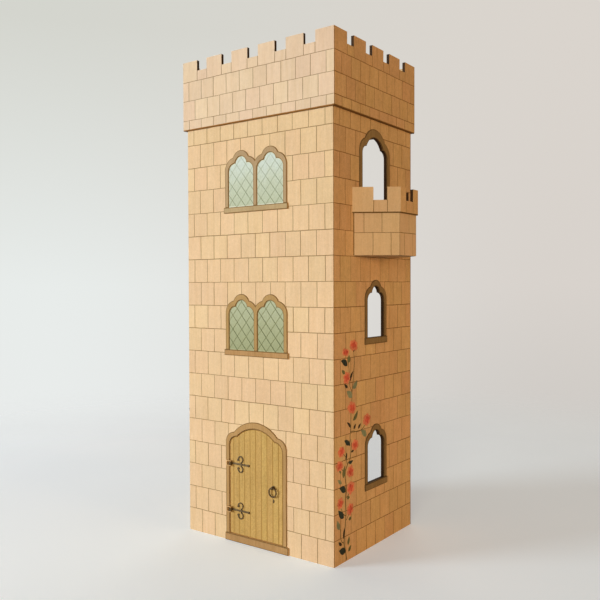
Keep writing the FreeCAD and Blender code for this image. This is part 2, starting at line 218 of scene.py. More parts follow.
def masonry(u_low, u_high, courses, columns, rng):
    """Course lines at the inner heights, and upright joints in each course.

    courses: heights from bottom to top; columns: for each course the u of its joints.
    """
    u_low, u_high = u_low - COURSE_OVERRUN, u_high + COURSE_OVERRUN
    lines = [wavering_line((u_low, v), (u_high, v), rng) for v in courses[1:-1]]
    for low, high, joints in zip(courses, courses[1:], columns):
        for u in joints:
            shift = rng.uniform(-JOINT_SHIFT, JOINT_SHIFT)
            top = high - rng.choice(JOINT_TOPS)
            lines.append(wavering_line((u + shift, low), (u + shift, top), rng))
    return lines


def joint_strips(lines, rng, width):
    """Each line with its own width: (centre points, half width)."""
    return [(np.array(line), 0.5 * width * rng.uniform(0.8, 1.25)) for line in lines]


def left_of(path):
    """Unit vectors to the left of a path at each of its points."""
    run = np.gradient(path, axis=0)
    run /= np.linalg.norm(run, axis=1)[:, None]
    return np.stack([-run[:, 1], run[:, 0]], 1)


def strip_distance(points, strips):
    """Least distance from each point to the strips' centre lines, in half widths."""
    starts = np.vstack([line[:-1] for line, _ in strips])
    ends = np.vstack([line[1:] for line, _ in strips])
    scale = np.concatenate([np.full(len(line) - 1, 1 / half) for line, half in strips])
    return nearest(points, starts, ends, scale)


# ---- plates ----

FACE_LOOK, LINE_LOOK, EDGE_LOOK, INNER_LOOK, BAND_LOOK = range(5)
MIDDLE_TONE = 0.5           # tone of everything that isn't a stone or a plank
BEVEL_ANGLES = (0.6, 1.0, math.pi / 2)
LIP_ANGLES = (0.35, 0.7, 1.05, math.pi / 2)
CORNER_PARTS = (1, 2 / 3, 1 / 3)


class End:
    """How one end of a board meets its neighbour: half the corner's turn, and how much
    shorter the inner face is."""

    def __init__(self, half_turn=0.0, shorter=0.0):
        self.half_turn = half_turn
        self.shorter = shorter
        self.zone = CORNER_ROUND * math.tan(half_turn) if half_turn else 0.0


SQUARE = End()
MITRED = End(math.radians(45), BOARD)


def fit_ends(u, depth, ends, reach, outer):
    """Rounds a mitred corner on the outer face, or shortens the inner face."""
    u, depth = u.copy(), depth.copy()
    for end, limit, sign in zip(ends, reach, (-1, 1)):
        beyond = sign * (u - limit)
        if outer and end.half_turn:
            share = np.clip(1 + beyond / end.zone, 0, 1)
            angle = share * end.half_turn
            bent = share > 0
            rounded = limit + sign * (CORNER_ROUND * np.sin(angle) - end.zone)
            u = np.where(bent, rounded, u)
            depth = np.where(bent, depth + CORNER_ROUND * (1 - np.cos(angle)), depth)
        elif not outer and end.shorter:
            share = np.clip(1 + beyond / MITRE_ZONE, 0, 1)
            u = u - sign * share * end.shorter
    return u, depth


def triangulate(points, edges):
    result = delaunay_2d_cdt([Vector(p) for p in points], edges, [], 0, 1e-4)
    verts = np.array([tuple(v) for v in result[0]])
    faces = np.array([f for f in result[2] if len(f) == 3])
    corners = verts[faces]
    area = np.cross(corners[:, 1] - corners[:, 0], corners[:, 2] - corners[:, 0])
    faces[area < 0] = faces[area < 0][:, ::-1]
    return verts, faces[np.abs(area) > 1e-7], result[3]


def regions(faces, member):
    """A number for each face, shared by member faces joined edge to edge."""
    label = np.arange(len(faces))
    owners = {}
    pairs = []
    for i in np.flatnonzero(member):
        a, b, c = faces[i]
        for edge in ((a, b), (b, c), (c, a)):
            key = (min(edge), max(edge))
            if key in owners:
                pairs.append((owners[key], i))
            else:
                owners[key] = i
    if not pairs:
        return label
    first, second = np.array(pairs).T
    while True:
        least = np.minimum(label[first], label[second])
        new = label.copy()
        np.minimum.at(new, first, least)
        np.minimum.at(new, second, least)
        new = new[new]
        if np.array_equal(new, label):
            return label
        label = new


def quarter_round(distance, radius):
    """Drop of a rounded edge at a distance from the boundary."""
    if not radius:
        return np.zeros_like(distance)
    x = np.clip(radius - distance, 0, radius)
    return radius - np.sqrt(np.maximum(radius * radius - x * x, 0))


def open_edges(faces):
    directed = {(a, b) for f in faces for a, b in zip(f, np.roll(f, -1))}
    return sorted((a, b) for a, b in directed if (b, a) not in directed)


def dress(mesh, name, looks, index, tone, smooth_angle):
    """Gives a mesh its looks, a tone for each face and sharp edges, and shows it."""
    for mat in looks:
        mesh.materials.append(mat)
    mesh.polygons.foreach_set("material_index", np.array(index, np.int32))
    attribute = mesh.attributes.new("tone", "FLOAT", "FACE")
    attribute.data.foreach_set("value", np.array(tone, np.float32))
    mesh.shade_smooth()
    mesh.set_sharp_from_angle(angle=math.radians(smooth_angle))
    obj = bpy.data.objects.new(name, mesh)
    bpy.context.scene.collection.objects.link(obj)
    return obj


def make_object(name, points, faces, looks, index, tone, smooth_angle=22.0):
    mesh = bpy.data.meshes.new(name)
    mesh.from_pydata([tuple(p) for p in points], [], [tuple(int(i) for i in f) for f in faces])
    obj = dress(mesh, name, looks, index, tone, smooth_angle)
    mesh.validate()
    return obj


def finish_piece(obj, body, slot, *nodes):
    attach(obj, body)
    if nodes:
        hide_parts(*nodes)
    return obj


class Sketch:
    """The lines along which a plate's face is divided."""

    def __init__(self, loops):
        self.points, self.edges = [], []
        everything = np.vstack(loops)
        (self.u_low, self.v_low), (self.u_high, self.v_high) = everything.min(0), everything.max(0)

    def add(self, line, closed=False):
        base, count = len(self.points), len(line)
        self.points.extend(line)
        self.edges.extend((base + i, base + (i + 1) % count)
                          for i in range(count if closed else count - 1))

    def level(self, v):
        self.add([(self.u_low - 1, v), (self.u_high + 1, v)])

    def upright(self, u):
        self.add([(u, self.v_low - 1), (u, self.v_high + 1)])


def inner_face(verts, faces, loops):
    """Points and faces of a plate's inner face, its rim, and the rim points' numbers there."""
    rim = open_edges(faces)
    rim_ids = sorted({i for edge in rim for i in edge})
    back_of = {v: i for i, v in enumerate(rim_ids)}
    flat, back, origin = triangulate([tuple(verts[i]) for i in rim_ids],
                                     [(back_of[a], back_of[b]) for a, b in rim])
    if len(flat) != len(rim_ids):
        return verts, faces, rim, {v: v for v in range(len(verts))}
    back = back[inside(flat[back].mean(1), loops)]
    return verts[rim_ids], [[origin[i][0] for i in face] for face in back], rim, back_of


def plate(node, plane, loops, outer, inner, looks, slot, body="tower", joints=(), rng=None,
          joint_width=JOINT_WIDTH, joint_depth=JOINT_DEPTH, bevel=0.0, band=0.0,
          ends=(SQUARE, SQUARE), lip=0.0, foot=0.0, borders=(0.0, 0.0), pick=None):
    """A board between two depths, drawn from its outlines.

    looks: materials for face, joint line, cut edge, inner face and outline band.
    band, foot and borders: widths of the outline look along every edge, the bottom
    edge and the two ends. On the parapets and the balcony band the foot look, also on
    the bottom cut face, is painted shade. pick: chooses the faces that take the joint look by
    place.
    """
    rng = rng or random.Random(node)
    strips = joint_strips(joints, rng, joint_width)
    sketch = Sketch(loops)
    reach, v_low = (sketch.u_low, sketch.u_high), sketch.v_low
    insets = [bevel * (1 - math.cos(angle)) for angle in BEVEL_ANGLES] if bevel else []
    insets += [band] if band else []
    for loop in loops:
        sketch.add(loop, True)
        for distance in insets:
            sketch.add(inset_loop(loop, distance), True)
    for line, half in strips:
        for offset in (-half, 0, half):
            sketch.add(line + offset * left_of(line))
    for end, limit, sign in zip(ends, reach, (-1, 1)):
        for part in CORNER_PARTS if end.half_turn else ():
            sketch.upright(limit - sign * end.zone * part)
    for angle in LIP_ANGLES if lip else ():
        sketch.level(v_low + lip * (1 - math.cos(angle)))
    if foot:
        sketch.level(v_low + foot)
    for width, limit, sign in zip(borders, reach, (1, -1)):
        if width:
            sketch.upright(limit + sign * width)

    verts, faces, _ = triangulate(sketch.points, sketch.edges)
    faces = faces[inside(verts[faces].mean(1), loops)]
    used, flat = np.unique(faces, return_inverse=True)
    faces = flat.reshape(-1, 3)
    verts = verts[used]
    centres = verts[faces].mean(1)

    drop = quarter_round(loop_distance(verts, loops), bevel)
    line_face = pick(centres) if pick else np.zeros(len(faces), bool)
    if strips:
        drop = drop + joint_depth * np.clip(1 - strip_distance(verts, strips), 0, 1)
        line_face = strip_distance(centres, strips) < LINE_SHARE
    if lip:
        drop = np.maximum(drop, quarter_round(verts[:, 1] - v_low, lip))
    band_face = centres[:, 1] < v_low + foot
    for width, limit, sign in zip(borders, reach, (1, -1)):
        band_face |= sign * (centres[:, 0] - limit) < width
    if band:
        band_face |= loop_distance(centres, loops) < band
    index = np.where(band_face, BAND_LOOK, np.where(line_face, LINE_LOOK, FACE_LOOK))

    label = regions(faces, index == FACE_LOOK)
    shade = {k: rng.random() for k in sorted(set(label[index == FACE_LOOK].tolist()))}
    tone = [shade.get(k, MIDDLE_TONE) for k in label.tolist()]

    back_verts, back_faces, rim, back_of = inner_face(verts, faces, loops)
    u, depth = fit_ends(verts[:, 0], outer + drop, ends, reach, True)
    front_points = plane.place(u, verts[:, 1], depth)
    u, depth = fit_ends(back_verts[:, 0], np.full(len(back_verts), inner), ends, reach, False)
    back_points = plane.place(u, back_verts[:, 1], depth)
    base = len(verts)
    all_faces = [tuple(face) for face in faces]
    all_faces += [(base + c, base + b, base + a) for a, b, c in back_faces]
    all_faces += [(b, a, base + back_of[a], base + back_of[b]) for a, b in rim]
    # A board with a foot gives its bottom cut face the band look too: painted shade of the
    # underside.
    rim_looks = [BAND_LOOK if foot and max(verts[a][1], verts[b][1]) < v_low + TOLERANCE
                 else EDGE_LOOK for a, b in rim]
    index = list(index) + [INNER_LOOK] * len(back_faces) + rim_looks
    tone += [MIDDLE_TONE] * (len(back_faces) + len(rim))
    obj = make_object(node + "_look", np.vstack([front_points, back_points]), all_faces,
                      looks, index, tone)
    return finish_piece(obj, body, slot, node)


def adopt(node, looks, slot, body="tower", normal=None, bevel=EDGE_BEVEL, smooth_angle=32.0):
    """A CAD node's own shape with softened edges. Faces turned away from the board's
    normal take the second look, its cut edge."""
    bm = bmesh.new()
    bm.from_mesh(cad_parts[node].data)
    bmesh.ops.remove_doubles(bm, verts=bm.verts, dist=1e-6)
    bmesh.ops.dissolve_limit(bm, angle_limit=math.radians(MERGED_ANGLE), verts=bm.verts,
                              edges=bm.edges)
    sharp = [e for e in bm.edges if len(e.link_faces) == 2
             and e.calc_face_angle(0) > math.radians(SHARP_ANGLE)]
    if bevel and sharp:
        bmesh.ops.bevel(bm, geom=sharp, offset=bevel * MM, segments=2, profile=0.5,
                        affect="EDGES", clamp_overlap=True)
    bmesh.ops.triangulate(bm, faces=[f for f in bm.faces if len(f.verts) > 4])
    bm.normal_update()
    mesh = bpy.data.meshes.new(node + "_look")
    bm.to_mesh(mesh)
    bm.free()
    face = Vector(normal).normalized() if normal else None
    index = [1 if face and abs(p.normal.dot(face)) < FACING else 0 for p in mesh.polygons]
    tone = np.full(len(mesh.polygons), random.Random(node).random())
    obj = dress(mesh, node + "_look", looks, index, tone, smooth_angle)
    return finish_piece(obj, body, slot, node)


# ---- materials ----

def srgb(colour):
    """Colour given as three display values from 0 to 255."""
    def linear(c):
        c /= 255
        return c / 12.92 if c <= 0.04045 else ((c + 0.055) / 1.055) ** 2.4
    return (*map(linear, colour), 1.0)


class Nodes:
    """A node tree being put together."""

    def __init__(self, tree):
        self.tree = tree
        tree.nodes.clear()

    def node(self, kind, inputs=None, **settings):
        """inputs: what feeds each input, a number, a colour or another node's output."""
        made = self.tree.nodes.new(kind)
        for key, value in settings.items():
            setattr(made, key, value)
        for key, value in (inputs or {}).items():
            if isinstance(value, bpy.types.NodeSocket):
                self.tree.links.new(value, made.inputs[key])
            else:
                made.inputs[key].default_value = value
        return made

    def remap(self, value, low, high, to_low=0.0, to_high=1.0, **settings):
        spans = {"From Min": low, "From Max": high, "To Min": to_low, "To Max": to_high}
        return self.node("ShaderNodeMapRange", {"Value": value, **spans}, **settings).outputs[0]

    def maths(self, operation, a, b):
        return self.node("ShaderNodeMath", {0: a, 1: b}, operation=operation).outputs[0]

    def across(self, direction):
        """How far a direction or place lies to the picture's right."""
        inputs = {0: direction, 1: SKY_ACROSS}
        return self.node("ShaderNodeVectorMath", inputs, operation="DOT_PRODUCT").outputs["Value"]

    def blend(self, fac, a, b):
        inputs = {0: fac, 6: a, 7: b}
        return self.node("ShaderNodeMix", inputs, data_type="RGBA").outputs[2]

    def by_ray(self, seen, unseen):
        """One shader for what the camera sees and another for the light it gives."""
        ray = self.node("ShaderNodeLightPath").outputs["Is Camera Ray"]
        inputs = {0: ray, 1: unseen.outputs[0], 2: seen.outputs[0]}
        return self.node("ShaderNodeMixShader", inputs)


class Material(Nodes):
    """A material being put together in object coordinates."""

    def __init__(self, name):
        self.mat = bpy.data.materials.new(name)
        self.mat.use_nodes = True
        super().__init__(self.mat.node_tree)
        self.coords = self.node("ShaderNodeTexCoord").outputs["Object"]

    def noise(self, frequency, detail=3.0, roughness=0.55):
        """Noise with features per metre along X, Y and Z."""
        mapping = self.node("ShaderNodeMapping", {"Vector": self.coords, "Scale": frequency})
        inputs = {"Vector": mapping.outputs[0], "Scale": 1.0, "Detail": detail,
                  "Roughness": roughness}
        return self.node("ShaderNodeTexNoise", inputs).outputs["Fac"]

    def ripple(self, frequency, detail, roughness, swing):
        """Even noise that swings about zero."""
        return self.remap(self.noise([frequency] * 3, detail, roughness), 0.3, 0.7, -swing, swing)

    def tone(self):
        return self.node("ShaderNodeAttribute", attribute_name="tone").outputs["Fac"]

    def brighten(self, colour, value, hue=0.5):
        inputs = {"Color": colour, "Value": value, "Hue": hue}
        return self.node("ShaderNodeHueSaturation", inputs).outputs[0]

    def height(self):
        return self.node("ShaderNodeSeparateXYZ", {0: self.coords}).outputs["Z"]

    def show(self, shader):
        self.node("ShaderNodeOutputMaterial", {0: shader.outputs[0]})
        return self.mat

    def finish(self, colour, rough, relief, relief_mm, metallic=0.0, specular=0.35):
        bump = self.node("ShaderNodeBump", {"Strength": 0.6, "Distance": relief_mm * MM,
                                            "Height": relief})
        return self.show(self.node("ShaderNodeBsdfPrincipled", {
            "Base Color": colour, "Roughness": rough, "Normal": bump.outputs[0],
            "Metallic": metallic, "Specular IOR Level": specular}))


# Fibres per metre along X, Y and Z.
GRAIN = {"x": (70, 900, 900), "y": (900, 70, 900), "z": (900, 900, 70)}


def wood(name, light, dark, grain=GRAIN["z"], figure=0.6, tones=0.04, blotches=0.05,
         hue_spread=0.006, mottle=0.03, grit=0.05, fade=0.0):
    """Sanded board: fibres, pores, mottling, slow blotches and a tone per stone or plank.

    fade paints shade on the board: it darkens it towards the tower's top.
    """
    g = Material(name)
    fibres = g.noise(grain, 4.0, 0.65)
    broad = g.noise([f * 0.22 for f in grain], 2.0, 0.5)
    pores = g.noise([f * 2.6 for f in grain], 2.0, 0.7)
    tone = g.tone()
    mixed = g.maths("MULTIPLY", g.remap(fibres, 0.36, 0.7), figure)
    mixed = g.maths("ADD", mixed, g.remap(broad, 0.42, 0.66, 0, 0.45 * figure))
    colour = g.blend(mixed, srgb(light), srgb(dark))
    value = g.remap(tone, 0, 1, 1 - tones, 1 + tones)
    for layer in (g.ripple(55, 3.0, 0.6, blotches), g.remap(pores, 0.25, 0.45, -0.04, 0.0),
                  g.ripple(420, 3.0, 0.6, mottle), g.ripple(1300, 2.0, 0.7, grit)):
        value = g.maths("ADD", value, layer)
    # Painted shade: the board darkens towards the tower's top.
    value = g.maths("SUBTRACT", value, g.remap(g.height(), 0.15, 0.24, 0.0, fade))
    hue = g.remap(g.maths("FRACT", g.maths("MULTIPLY", tone, 7.3), 0.0), 0, 1,
                  0.5 - hue_spread, 0.5 + hue_spread)
    relief = g.maths("ADD", fibres, g.maths("MULTIPLY", pores, 0.6))
    return g.finish(g.brighten(colour, value, hue), g.remap(fibres, 0.3, 0.7, 0.66, 0.8),
                    relief, 0.03, specular=0.12)


def charred(name, dark, brown, share=0.8):
    """Laser-cut edge or burnt line: soot with browner patches; also used for lines of painted
    shade, and for edges painted pale as painted light.
    """
    g = Material(name)
    soot = g.noise((500, 500, 160), 4.0, 0.6)
    fine = g.noise((2400, 2400, 2400), 2.0, 0.6)
    colour = g.blend(g.remap(soot, 0.35, 0.7, 0, share), srgb(dark), srgb(brown))
    colour = g.brighten(colour, g.remap(fine, 0.3, 0.7, 0.88, 1.12))
    return g.finish(colour, g.remap(soot, 0.3, 0.7, 0.7, 0.9), fine, 0.03, specular=0.15)


def pane_look(name, low, high, top, middle, bottom):
    """Tinted inlay that fades from a bright top to a grey-green foot."""
    g = Material(name)
    cloudy = g.noise((160, 160, 90), 3.0, 0.55)
    rise = g.maths("ADD", g.remap(g.height(), low * MM, high * MM),
                   g.remap(cloudy, 0.3, 0.7, -0.12, 0.12))
    colour = g.blend(g.remap(rise, 0.0, 0.55), srgb(bottom), srgb(middle))
    colour = g.blend(g.remap(rise, 0.45, 1.0), colour, srgb(top))
    fine = g.noise((1100, 1100, 700), 3.0, 0.65)
    colour = g.brighten(colour, g.remap(fine, 0.3, 0.7, 0.9, 1.1))
    return g.finish(colour, g.remap(cloudy, 0.3, 0.7, 0.5, 0.62), fine, 0.01, specular=0.15)


def forged(name, dark, worn, metallic=0.35):
    g = Material(name)
    patches = g.noise((420, 420, 420), 4.0, 0.6)
    dents = g.noise((900, 900, 900), 2.0, 0.5)
    colour = g.blend(g.remap(patches, 0.4, 0.72), srgb(dark), srgb(worn))
    colour = g.brighten(colour, g.remap(g.tone(), 0, 1, 0.9, 1.12))
    return g.finish(colour, g.remap(dents, 0.3, 0.7, 0.45, 0.65), dents, 0.05,
                    metallic=metallic, specular=0.4)


def painted(name, thin, thick):
    """Hand-laid paint: thicker and thinner strokes of one colour."""
    g = Material(name)
    stroke = g.noise((700, 700, 350), 3.0, 0.6)
    colour = g.blend(g.remap(stroke, 0.35, 0.68), srgb(thin), srgb(thick))
    colour = g.brighten(colour, g.remap(g.tone(), 0, 1, 0.86, 1.16))
    return g.finish(colour, g.remap(stroke, 0.3, 0.7, 0.45, 0.6), stroke, 0.02, specular=0.3)


# The front stone darkens slightly towards the top: painted shade.
stone_face = wood("stone_face", (223, 193, 155), (211, 176, 132), figure=0.4, tones=0.03,
                  blotches=0.035, hue_spread=0.005, fade=0.03)
# Painted shade: a darker, more saturated copy of the stone look for boards facing sideways,
# darkening strongly towards the top.
shaded_side_stone = wood("shaded_side_stone", (224, 186, 138), (206, 166, 114), tones=0.045,
                  hue_spread=0.007, mottle=0.06, grit=0.09, fade=0.13)
# Painted sheen: a paler, bluer copy of the stone look for the front and back parapet.
sheen_stone = wood("parapet_stone", (218, 194, 167), (205, 176, 142), figure=0.4, tones=0.03,
                  blotches=0.035, grit=0.03)
stone_line = charred("stone_joint", (138, 111, 72), (160, 131, 86))
# Painted sheen: a paler copy of the joint look for the front and back parapet.
sheen_line = charred("parapet_joint", (146, 122, 94), (166, 140, 110))
# Painted shade: a darker copy of the joint look for boards facing sideways.
shaded_side_line = charred("shaded_side_joint", (132, 96, 54), (154, 116, 70))
cut_edge = charred("charred_edge", (56, 41, 28), (92, 66, 42), 0.7)
# Dark line at the balcony boards' ends and along the band's foot, there partly the edge, partly
# painted shadow under the band.
balcony_line_and_shade = charred("balcony_line_and_shade", (104, 80, 44), (124, 96, 56), 0.7)
# Brown edge and painted shade along the parapet's foot and on the lip's underside.
lip_edge_and_shade = charred("lip_edge_and_shade_line", (150, 106, 58), (172, 126, 74), 0.7)
# Dark line down a side board's corner; along the side parapets' foot it is painted shade.
corner_line_and_foot_shade = charred("corner_line_and_foot_shade", (124, 92, 50), (146, 110, 64), 0.7)
board_face = {axis: wood("board_grain_" + axis, (220, 190, 148), (196, 158, 110), grain)
              for axis, grain in GRAIN.items()}
board_edge = charred("board_edge", (70, 50, 33), (120, 86, 52))
trim_face = wood("trim_wood", (178, 142, 94), (160, 123, 74), blotches=0.06)
pale_trim_face = wood("pale_trim_wood", (180, 154, 117), (163, 136, 98), blotches=0.06)
trim_line = charred("trim_outline", (120, 93, 54), (140, 110, 68))
# Painted light: the trim's cut sides are paler than its face, lifting the shade on them.
trim_side_painted_light = charred("trim_side_painted_light", (186, 146, 90), (204, 162, 102))
# A darker copy of the trim and its outline for the right wall: partly a darker finish, partly
# painted shade.
side_trim_face = wood("side_trim_wood", (150, 125, 86), (126, 102, 68), blotches=0.06)
side_trim_line = charred("side_trim_outline", (102, 82, 52), (120, 96, 62))
plank_face = wood("plank_wood", (193, 158, 95), (178, 142, 79), tones=0.015,
                  hue_spread=0.003, mottle=0.05, grit=0.13)
plank_gap = charred("plank_gap", (164, 128, 64), (178, 142, 76), 0.7)
# Painted light: the front wall's and door's cut edges are painted pale to lift the shade in the
# door's gap.
jamb_edge_painted_light = charred("jamb_edge_painted_light", (224, 182, 122), (238, 198, 138), 0.7)
iron = forged("dark_iron", (86, 68, 38), (112, 90, 54))
iron_bright = forged("worn_iron", (84, 64, 38), (116, 90, 56))
bronze = forged("browned_bronze", (176, 138, 86), (196, 156, 102), metallic=0.1)

# ---- walls ----

FRONT_LOOKS = [stone_face, stone_line, jamb_edge_painted_light, board_face["z"], lip_edge_and_shade]
# The side boards take shaded copies of the stone looks: painted shade.
SIDE_LOOKS = [shaded_side_stone, shaded_side_line, cut_edge, board_face["z"], corner_line_and_foot_shade]
# The front and back parapet take paler copies of the stone looks: painted sheen.
PARAPET_LOOKS = [sheen_stone, sheen_line, cut_edge, board_face["z"], lip_edge_and_shade]
BALCONY_LOOKS = [stone_face, stone_line, cut_edge, board_face["z"], balcony_line_and_shade]
CORNER_LINE = 0.5           # dark line down a board's edge
COURSES = [COURSE * k for k in range(19)]
LEFT_OFFSETS = [[0.59 * STONE + STONE * i for i in range(8)],
                [1.09 * STONE + STONE * i for i in range(8)]]
LEAST_STONE = 3.0           # shortest stone left at the end of a course


def front_columns():
    even = [-HALF_WIDTH + STONE * k for k in range(1, 10)]
    odd = [-HALF_WIDTH + STONE * (k + 0.5) for k in range(10)]
    return [even if c % 2 == 0 else odd for c in range(len(COURSES) - 1)]


def side_columns(place):
    """Joints of a side wall; place turns a distance from the front corner into u."""
    columns = []
    for c in range(len(COURSES) - 1):
        spots = LEFT_OFFSETS[(c + 1) % 2]
        columns.append([place(s) for s in spots if s < 2 * HALF_DEPTH - LEAST_STONE])
    return columns


def build_walls():
    rng = random.Random(11)
    corner_lines = (CORNER_LINE, CORNER_LINE)
    jobs = [("front_wall", FRONT, HALF_WIDTH, front_columns(), FRONT_LOOKS,
             (MITRED, MITRED), (0.0, 0.0)),
            ("right_wall", RIGHT, HALF_DEPTH, side_columns(lambda s: s - HALF_DEPTH), SIDE_LOOKS,
             (MITRED, SQUARE), corner_lines),
            ("left_wall", LEFT, HALF_DEPTH, side_columns(lambda s: HALF_DEPTH - s), SIDE_LOOKS,
             (SQUARE, MITRED), corner_lines)]
    for node, plane, reach, columns, looks, ends, borders in jobs:
        plate(node, plane, cad_outlines(node, plane, 0), 0, BOARD, looks, "stone_board",
              joints=masonry(-reach, reach, COURSES, columns, rng), rng=rng, ends=ends,
              borders=borders)


# ---- parapet ----

PARAPET_ROWS = (271.2, 284.0, 296.4)
CRENEL_FLOOR = 302.7
PARAPET_FOOT = 0.6          # line along the bottom of the parapet: brown edge with painted shade of the lip's underside and its shadow
FRONT_BRICKS = 11
FRONT_MERLONS, FRONT_CRENEL = 6, 8.4
SIDE_MERLONS, SIDE_CRENEL = 5, 7.5
SIDE_ROWS = [[8.3, 18.2, 28.5, 39.2, 50.4, 62.0, 73.1, 84.0],
             [12.8, 22.9, 34.3, 44.7, 55.6, 66.5, 77.7, 88.0],
             [7.9, 18.3, 28.5, 39.2, 49.9, 60.5, 71.0, 80.9, 92.7]]


def crenel_gaps(reach, merlons, crenel):
    merlon = (2 * reach - (merlons - 1) * crenel) / merlons
    starts = [-reach + merlon + i * (merlon + crenel) for i in range(merlons - 1)]
    return [(s, s + crenel) for s in starts]


def build_parapet():
    rng = random.Random(23)
    low, high = box_mm("parapet_front")
    heights = [low.z, *PARAPET_ROWS, CRENEL_FLOOR]
    front_reach, side_reach = HALF_WIDTH + BOARD, HALF_DEPTH + BOARD
    brick = 2 * front_reach / FRONT_BRICKS
    halves = [-front_reach + brick * (k + 0.5) for k in range(FRONT_BRICKS)]
    wholes = [-front_reach + brick * k for k in range(1, FRONT_BRICKS)]
    from_corner = [[-side_reach + s for s in row] for row in SIDE_ROWS]
    mirrored = [[side_reach - s for s in row] for row in SIDE_ROWS]
    front = (front_reach, FRONT_MERLONS, FRONT_CRENEL, PARAPET_LOOKS, 0.0,
             [halves, wholes, halves])
    side = (side_reach, SIDE_MERLONS, SIDE_CRENEL, SIDE_LOOKS, CORNER_LINE)
    jobs = [("parapet_front", FRONT, *front), ("parapet_right", RIGHT, *side, from_corner),
            ("parapet_back", BACK, *front), ("parapet_left", LEFT, *side, mirrored)]
    for node, plane, reach, merlons, crenel, looks, line, rows in jobs:
        gaps = crenel_gaps(reach, merlons, crenel)
        columns = [*rows, [u for gap in gaps for u in gap]]
        outline = battlement(-reach, reach, low.z, CRENEL_FLOOR, high.z, gaps)
        plate(node, plane, [outline], -BOARD, 0, looks, "stone_board",
              joints=masonry(-reach, reach, heights, columns, rng), rng=rng,
              ends=(MITRED, MITRED), lip=LIP_ROUND, foot=PARAPET_FOOT, borders=(line, line))


# ---- balcony ----

BALCONY_DEPTH = 22.8
BALCONY_WALL_HALF = 25.75
BALCONY_FRONT_HALF = 10.65
BAND_CRENEL_FLOOR = 213.3
APRON_ROW = 194.1
# Width of the line along the band's foot: partly its edge, partly painted shadow under the band.
BAND_FOOT = 0.6
# For the front, outer and rear facet, as shares of its length: the battlement's gap and
# the joints in the apron's lower and upper course; in mm, the dark lines at its two ends.
BALCONY_FACETS = {"front": ((0.437, 0.722), (0.417, 0.81), (0.22, 0.61), (CORNER_LINE, 0.0)),
                  "outer": ((0.298, 0.708), (0.28, 0.78), (0.55,), (0.3, 0.3)),
                  "rear": ((0.131, 0.416), (0.19, 0.583), (0.39, 0.78), (0.0, CORNER_LINE))}


def balcony_corners(grow):
    fall = BALCONY_WALL_HALF - BALCONY_FRONT_HALF
    flank = math.hypot(BALCONY_DEPTH, fall)
    at_wall = BALCONY_WALL_HALF + grow * flank / BALCONY_DEPTH
    at_front = BALCONY_FRONT_HALF + grow * (flank - fall) / BALCONY_DEPTH
    x = HALF_WIDTH + BALCONY_DEPTH + grow
    return [(HALF_WIDTH, -at_wall), (x, -at_front), (x, at_front), (HALF_WIDTH, at_wall)]


def balcony_facet(facet, grow):
    """Drawing plane and length of a facet, grown outwards."""
    a, b = balcony_corners(grow)[facet:facet + 2]
    return Plane(a, (b[0] - a[0], b[1] - a[1])), math.dist(a, b)


def build_balcony():
    rng = random.Random(31)
    slant = math.atan2(BALCONY_WALL_HALF - BALCONY_FRONT_HALF, BALCONY_DEPTH)
    half_turn = (math.pi / 2 - slant) / 2
    corner = End(half_turn, BOARD * math.tan(half_turn))
    at_wall = End(0.0, BOARD * math.tan(slant))
    corners = [at_wall, corner, corner, at_wall]
    apron_low, apron_high = box_mm("balcony_apron_outer")
    band_low, band_high = box_mm("balcony_parapet_outer")
    for facet, (side, (gap, lower, upper, lines)) in enumerate(BALCONY_FACETS.items()):
        ends = corners[facet:facet + 2]
        plane, length = balcony_facet(facet, 0)
        heights = [apron_low.z, APRON_ROW, apron_high.z]
        columns = [[length * s for s in row] for row in (lower, upper)]
        outline = rectangle(0, length, apron_low.z, apron_high.z)
        plate("balcony_apron_" + side, plane, [outline], 0, BOARD, BALCONY_LOOKS,
              "stone_board", joints=masonry(0, length, heights, columns, rng), rng=rng,
              ends=ends, borders=lines)
        plane, length = balcony_facet(facet, 1)
        gap = tuple(length * s for s in gap)
        outline = battlement(0, length, band_low.z, BAND_CRENEL_FLOOR, band_high.z, [gap])
        joints = masonry(0, length, [band_low.z, BAND_CRENEL_FLOOR], [gap], rng)
        # The band's outer and rear facets take the shaded side stone: painted shade.
        face = stone_face if side == "front" else shaded_side_stone
        plate("balcony_parapet_" + side, plane, [outline], 0, BOARD, [face, *BALCONY_LOOKS[1:]],
              "stone_board", joints=joints, rng=rng, ends=ends, foot=BAND_FOOT)


# ---- trim, windows and door ----

FRONT_TRIM_LOOKS = [trim_face, trim_line, trim_side_painted_light, board_face["z"], trim_line]
UPPER_TRIM_LOOKS = [pale_trim_face] + FRONT_TRIM_LOOKS[1:]
SIDE_TRIM_LOOKS = [side_trim_face, side_trim_line, side_trim_line, board_face["z"],
                   side_trim_line]


# Plane, looks and nodes of the pieces glued round the openings.
TRIM = [(FRONT, UPPER_TRIM_LOOKS, ("upper_window_frame", "upper_window_sill")),
        (FRONT, FRONT_TRIM_LOOKS, ("lower_window_frame", "lower_window_sill", "door_frame",
                                   "door_threshold")),
        (RIGHT, SIDE_TRIM_LOOKS, ("middle_side_window_frame", "lower_side_window_frame",
                                  "balcony_door_frame", "middle_side_window_sill",
                                  "lower_side_window_sill"))]


def build_trim():
    for plane, looks, nodes in TRIM:
        for node in nodes:
            low, high = box_mm(node)
            face = low.y + HALF_DEPTH if plane is FRONT else HALF_WIDTH - high.x
            plate(node, plane, cad_outlines(node, plane, face), face, 0, looks, "trim_board",
                  bevel=0.2, band=OUTLINE)


LEAD_SLOPE = 1.2            # rise of a lead over its run
LEAD_PITCH = 7.3
LEAD_HALF_WIDTH = 0.18
